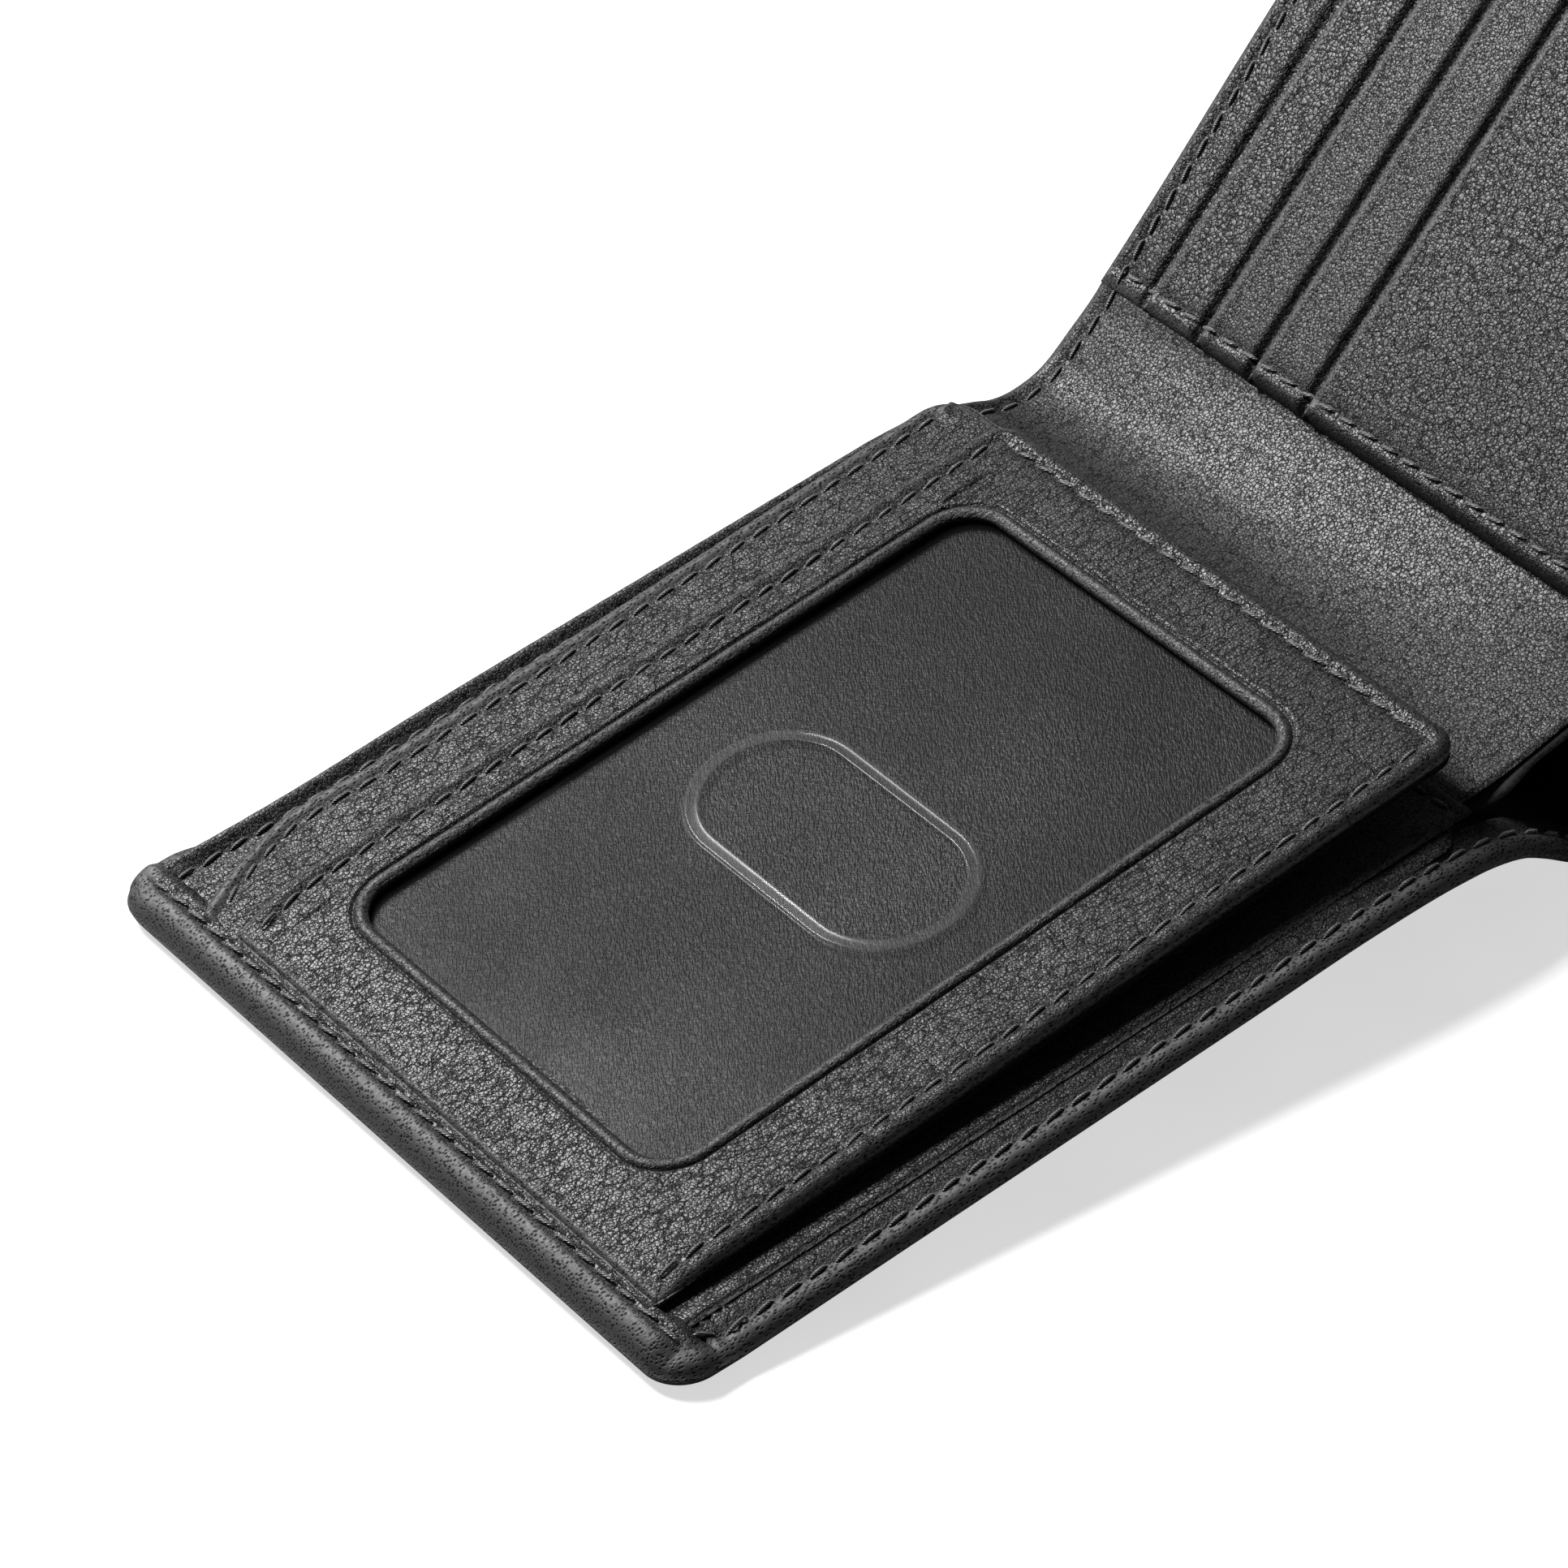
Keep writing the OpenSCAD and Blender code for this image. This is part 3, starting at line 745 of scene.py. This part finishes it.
def leaf_top(ring, d, e):
    """Height of the front leather, d in from its outer edge and e out from the window."""
    u, y = ring.T
    u0, u1, y0, y1 = LEAF
    on_hinge = u - u0 < np.minimum(u1 - u, np.minimum(y - y0, y1 - y))
    run = np.where((u1 - u) < np.minimum(y - y0, y1 - y), y, u)
    w = np.full(len(u), 0.56)
    by_seam = u - u0
    if d < AWAY:
        row = sewn(d - FRONT_ROW, run, 0.32, 0.14) + 0.26 * hump(d - 1.1, 0.9)
        w = w + np.where(on_hinge, 0.0, row * step(1.5, 4.0, by_seam))
        w = np.where(on_hinge, w, FRONT_EDGE + (w - FRONT_EDGE) * roll(d / 1.45))
    strip = (1 - step(1.55, 1.85, by_seam)) * step(0.3, 1.5, y - y0) * step(0.3, 1.5, y1 - y)
    w = w - 0.62 * (1 - step(-1.5, 9.0, by_seam)) - 0.55 * (1 - step(-0.1, 0.75, by_seam))
    w = w + 0.09 * strip + sewn(by_seam + 0.5, y, 0.0, 0.16) * (1 - step(1.0, 2.4, by_seam))
    if e < AWAY:
        w = w - 0.42 * (1 - roll(e / 0.75)) + 0.24 * hump(e - 0.85, 0.5)
        w = w - 0.30 * hump(e - 1.66, 0.17) + 0.10 * hump(e - 2.02, 0.20)
    pull = 0.05 * np.sin(u / 5.1 + y / 7.7) + 0.04 * np.sin(u / 2.3 - y / 3.9)
    return w + pull * step(0.5, 3.0, min(d, e))


# From the window out over the top, round the edge, and back underneath to the window.
INNER_OFFS = (0, 0.05, 0.16, 0.34, 0.6, 0.9, 1.2, 1.40, 1.52, 1.60, 1.66, 1.73, 1.84, 2.05, 2.4, 3.0)
OUTER_OFFS = (6.0, 5.2, 4.5, 3.9, 3.4, 3.1, 2.9, 2.7, 2.5, 2.35, 2.15, 1.9, 1.6, 1.3, 1.0, 0.75,
              0.52, 0.33, 0.18, 0.07, 0.0)
loops, heights, marks = [], [], []
for e in INNER_OFFS:
    loops.append(window_loop(e))
    heights.append(leaf_top(loops[-1], AWAY, e))
    marks.append(0.55 * (1 - step(1.0, 1.9, e)))
for t in (0.2, 0.4, 0.6, 0.8):
    loops.append(window_loop(3.0) * (1 - t) + outer_loop(6.0) * t)
    heights.append(leaf_top(loops[-1], AWAY, AWAY))
    marks.append(0.0)
for d in OUTER_OFFS:
    loops.append(outer_loop(d))
    heights.append(leaf_top(loops[-1], d, AWAY))
    marks.append(0.8 * (1 - step(0.4, 1.2, d)))
for d in (0.0, 0.10, 0.35, 0.9, 1.8, 3.4):
    loops.append(outer_loop(d + 0.001))
    at_hinge = 1 - step(2.0, 6.0, loops[-1][:, 0])
    edge = FRONT_EDGE * (1 - at_hinge) + FRONT_UNDER * at_hinge
    deep = -0.98 * (1 - at_hinge) * (1 - step(1.4, 3.0, d)) + FRONT_UNDER * at_hinge
    heights.append(edge + (np.minimum(deep, FRONT_UNDER) - edge) * roll(d / 0.5))
    marks.append(1.0)
for e in (2.6, 1.2, 0.4, 0.08):
    loops.append(window_loop(e))
    heights.append(FRONT_UNDER if e > 0.2 else -0.22)
    marks.append(1.0)
for ring in loops:
    ring[:, 1] -= front_drawn(ring[:, 0]) * step(20, 32, ring[:, 1])
leaf_front = ringed("leaf_front", loops, heights, marks)
leaf_front.data.materials.append(leaf_leather)
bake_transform(leaf_front)
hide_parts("leaf_front")

# ---------------------------------------------------------------- card slots
# The right wall's stack: a backing panel and four pockets, each with a folded mouth and
# each overlapping the last. They share one rounded, sewn side by the fold.
MOUTHS = (45.7, 38.2, 29.35, 20.6, 11.7)       # the far edges of the panel and the pockets
LEVELS = [0.62 + 0.46 * k for k in range(5)]    # how high each one's top lies
SIDE, SIDE_ROW = 13.9, 2.45
FAR_ROW = 2.3
slot_leather = leather("slot_leather", pebble=0.52, crease=0.3)
# Pockets 2 and 3: a finer grain, and a darker copy of the black leather as painted shade.
plain_slot_leather_painted_shade = leather("plain_slot_leather_painted_shade", pebble=0.38, shade=0.7, crease=0.15)
SLOT_LEATHERS = (slot_leather, slot_leather, plain_slot_leather_painted_shade, plain_slot_leather_painted_shade, panel_leather)


def far_bulge(u):
    """How far the panel's far edge stands out, as the divider's does beyond the fold."""
    return 0.9 * step(134, 175, u + 119)


for k, mouth in enumerate(MOUTHS):
    name = "slot_panel" if k == 0 else f"slot_pocket_{k}"
    below = MOUTHS[k + 1] if k < 4 else -80.0
    u0 = SIDE + 0.06 * (4 - k)
    us = spread(u0, STACK_END, 1.9, (u0, 2.2, 0.28), (STACK_END, 0.6, 0.3))
    ys = spread(-43.3, mouth, 0.85, (mouth, 1.1 if k else 2.0, 0.22), (below + 1.3, 1.2, 0.2))
    pocket, u, y, under = cut_sheet(name, us, ys)
    level = LEVELS[k]
    past = y - below
    dip = -0.64 * (1 - step(0.75, 1.6, past)) + 0.14 * hump(past - 2.1, 0.5)
    fold = roll((mouth - y) / (0.5 if k else 1.3))
    side = roll((u - u0) / 1.9)
    sew = sewn(u - SIDE - SIDE_ROW, y, 0.30, 0.10) + 0.14 * hump(u - SIDE - 1.3, 0.85)
    sew = sew + sewn(u - 107.4, y, 0.2, 0.05)
    if k == 0:
        far_row = sewn(mouth - y - FAR_ROW, u) + 0.2 * hump(mouth - y - 1.0, 0.8)
        sew = sew + far_row * step(2, 4, u - SIDE)
    top = level + dip + sew + 0.05 * np.sin(u / 8.0 + y / 5.0 + k)
    if k:
        top = top + 0.14 * hump(mouth - y - 0.75, 0.6)
    lower = level - 0.43 + dip
    lower = np.where(u - SIDE < 2.4, -0.05 + (lower + 0.05) * step(1.0, 2.4, u - SIDE), lower)
    edge = np.minimum(side, roll((STACK_END - u) / 0.4))
    inside = level - 0.2 if k else 0.2
    high = -0.02 + (top + 0.02) * edge
    high = inside + (high - inside) * fold
    w = np.where(under, lower + (np.minimum(inside, high) - lower) * (1 - fold), high)
    x, z = on_stack(u, w)
    rolled = np.maximum(0.75 * (1 - step(0.5, 1.3, mouth - y)),
                        0.8 * (1 - step(0.4, 1.2, u - u0)))
    if k == 0:
        y = y + far_bulge(u) * step(36, 45, y)
    lay(pocket, x, y, z, rolled * ~under)
    pocket.data.materials.append(SLOT_LEATHERS[k])
    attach(pocket, "right_panel")
    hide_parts(name)

# ---------------------------------------------------------------- stitching
# Waxed black thread, twisted from two plies, in slightly slanted stitches a little under
# 3 mm long. One stitch is made, and each row is that stitch laid again and again.
bpy.ops.object.select_all(action="DESELECT")
bpy.ops.mesh.primitive_uv_sphere_add(segments=8, ring_count=7, radius=1)
one_stitch = bpy.context.object
co = points_of(one_stitch)
t = co[:, 2]                   # from -1 at one end to 1 at the other
girth = np.sqrt(np.clip(1 - t**2, 0, 1)) ** 0.55
angle = np.arctan2(co[:, 1], co[:, 0])
plies = 1 + 0.20 * np.cos(2 * angle + 5.0 * t)
STITCH = np.c_[1.28 * t, 0.23 * girth * plies * np.cos(angle) + 0.05 * np.sin(3.0 * t),
               0.21 * girth * plies * np.sin(angle) + 0.17 - 0.34 * t**4]
STITCH_FACES = [tuple(p.vertices) for p in one_stitch.data.polygons]
bpy.data.objects.remove(one_stitch)

thread, add, join = blank("waxed_thread", Sheen_Weight=0.3)
ply = add("ShaderNodeTexWave", {"Vector": in_mm(add), "Scale": 1.6, "Distortion": 2.0, "Detail": 2.0},
          bands_direction="DIAGONAL").outputs["Fac"]
bump = add("ShaderNodeBump", {"Height": ply, "Strength": 1.0, "Distance": 0.05 * MM})
join(bump.outputs[0], "Normal")
# Painted highlight and shade: the thread is paler on the crests of its twist and black in the grooves
# between them.
join(add("ShaderNodeMix", {0: ply, 6: (0.008, 0.008, 0.008, 1), 7: (0.08, 0.08, 0.08, 1)},
         data_type="RGBA").outputs[2], "Base Color")
join(ranged(add, ply, 0.0, 1.0, 0.50, 0.28), "Roughness")


def stitch_row(name, surface, first, last, bodies, replaced):
    """Stitches along surface(run), which gives (x, y, z) for lengths along the row, and how far
    to its right side the thread lies."""
    centres = np.arange(np.ceil(first / PITCH), np.floor(last / PITCH) + 0.01) * PITCH
    mid = np.array(surface(centres)).T
    way = np.array(surface(centres + 0.6)).T - np.array(surface(centres - 0.6)).T
    way /= np.linalg.norm(way, axis=1)[:, None]
    across = np.array(surface(centres, side=0.6)).T - np.array(surface(centres, side=-0.6)).T
    across -= (across * way).sum(1)[:, None] * way
    across /= np.linalg.norm(across, axis=1)[:, None]
    up = np.cross(way, across)
    draws = np.random.default_rng(len(name) + len(centres))
    verts, faces = [], []
    for k in range(len(centres)):
        size = 1 + 0.05 * draws.standard_normal()
        slant = 0.09 + 0.04 * draws.standard_normal()
        local = STITCH * (size, 1, 1)
        local[:, 1] += slant * local[:, 0]
        verts.append(mid[k] + local @ np.array([way[k], across[k], up[k]]))
        faces += [tuple(i + k * len(STITCH) for i in f) for f in STITCH_FACES]
    mesh = bpy.data.meshes.new(name)
    co = np.concatenate(verts)
    mesh.from_pydata(((co - (MID, 0, 0)) * MM).tolist(), [], faces)
    row = bpy.data.objects.new(name, mesh)
    scene.collection.objects.link(row)
    for polygon in mesh.polygons:
        polygon.use_smooth = True
    mesh.materials.append(thread)
    if len(bodies) == 1:
        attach(row, bodies[0])
    elif bodies[1] == "id_leaf":
        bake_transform(row)
    else:
        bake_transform(row)
    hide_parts(*replaced)


FRONT_SEWN = 0.36              # how high the thread lies on the leaf's front


def near_edge_row(run, side=0.0):
    y = NEAR_ROW - HALF + 2.1 * (1 - step(4.0, 8.5, run))
    x, z = along(shell_line, run, shell_top(run, y))
    return x, y + side, z


def end_row(run, side=0.0):
    s = np.full_like(run, LEFT_ROW)
    x, z = along(shell_line, s - side, shell_top(s, run))
    return x, run, z


def right_end_row(run, side=0.0):
    s = np.full_like(run, SHELL_RUN - RIGHT_ROW)
    x, z = along(shell_line, s - side, shell_top(s, run))
    return x, run, z


def divider_row(run, side=0.0):
    y = divider_sides(run)[1] - DIVIDER_ROW
    x, z = bridge(run, y, divider_top(run, np.full_like(run, DIVIDER_ROW)))
    return x, y + side, z


def pocket_row(run, side=0.0):
    x, z = on_left(np.full_like(run, POCKET_SEAM) - side, POCKET_TOP - 0.14)
    return x, run, z - 0.2


def leaf_far_row(run, side=0.0):
    x, z = on_leaf(run, FRONT_SEWN)
    return x, LEAF[3] - FRONT_ROW - 0.9 * front_drawn(run) + side, z


def leaf_near_row(run, side=0.0):
    x, z = on_leaf(run, FRONT_SEWN)
    return x, np.full_like(run, LEAF[2] + FRONT_ROW) + side, z


def leaf_side_row(run, side=0.0):
    x, z = on_leaf(np.full_like(run, LEAF[1] - FRONT_ROW) - side, FRONT_SEWN)
    return x, run, z


def leaf_back_row(run, side=0.0):
    w = BACK_TOP - 0.19 + 0.80 * (1 - step(1.0, 16.0, run)) + 0.12 * np.sin(run / 13.0) * 0.95
    x, z = on_leaf(run, w)
    return x, BACK_FAR - BACK_ROW - back_drawn(run) * 0.99 + side, z


def stack_side_row(run, side=0.0):
    level = np.full_like(run, LEVELS[4])
    for k, mouth in enumerate(MOUTHS[1:]):
        level = np.where(run > mouth, np.minimum(level, LEVELS[k]), level)
    x, z = on_stack(np.full_like(run, SIDE + SIDE_ROW) - side, level - 0.12)
    return x, run, z


def stack_far_row(run, side=0.0):
    x, z = on_stack(run, LEVELS[0] - 0.10)
    return x, MOUTHS[0] - FAR_ROW + far_bulge(run) * 0.9 + side, z


stitch_row("stitch_end_left", end_row, -42.5, 43.0, ["left_panel"], ["stitch_rim_left"])
stitch_row("stitch_near", near_edge_row, 4.5, SHELL_RUN - 5, ["left_panel", "right_panel"],
           ["stitch_near_left", "stitch_near_right"])
stitch_row("stitch_end_right", right_end_row, -40.0, 44.0, ["right_panel"], ["stitch_rim_right"])
stitch_row("stitch_divider", divider_row, 5.0, ON_LEFT_END + BRIDGE - 1.0,
           ["left_panel", "right_panel"], ["stitch_divider_left"])
stitch_row("stitch_slots_far", stack_far_row, 15.0, 108.5, ["right_panel"], ["stitch_divider_right"])
stitch_row("stitch_pocket_side", pocket_row, -40.0, 38.5, ["left_panel"], ["stitch_pocket_left"])
stitch_row("stitch_leaf_far", leaf_far_row, 1.6, 98.0, ["left_panel", "id_leaf"], ["stitch_leaf_top"])
stitch_row("stitch_leaf_near", leaf_near_row, 1.6, 98.0, ["left_panel", "id_leaf"], ["stitch_leaf_near"])
stitch_row("stitch_leaf_side", leaf_side_row, -34.5, 28.5, ["id_leaf"], ["stitch_leaf_side"])
stitch_row("stitch_leaf_back", leaf_back_row, 1.6, 97.0, ["left_panel", "id_leaf"], ["stitch_leaf_back"])
stitch_row("stitch_slots_side", stack_side_row, -42.0, 42.5, ["right_panel"], ["stitch_stack_side"])
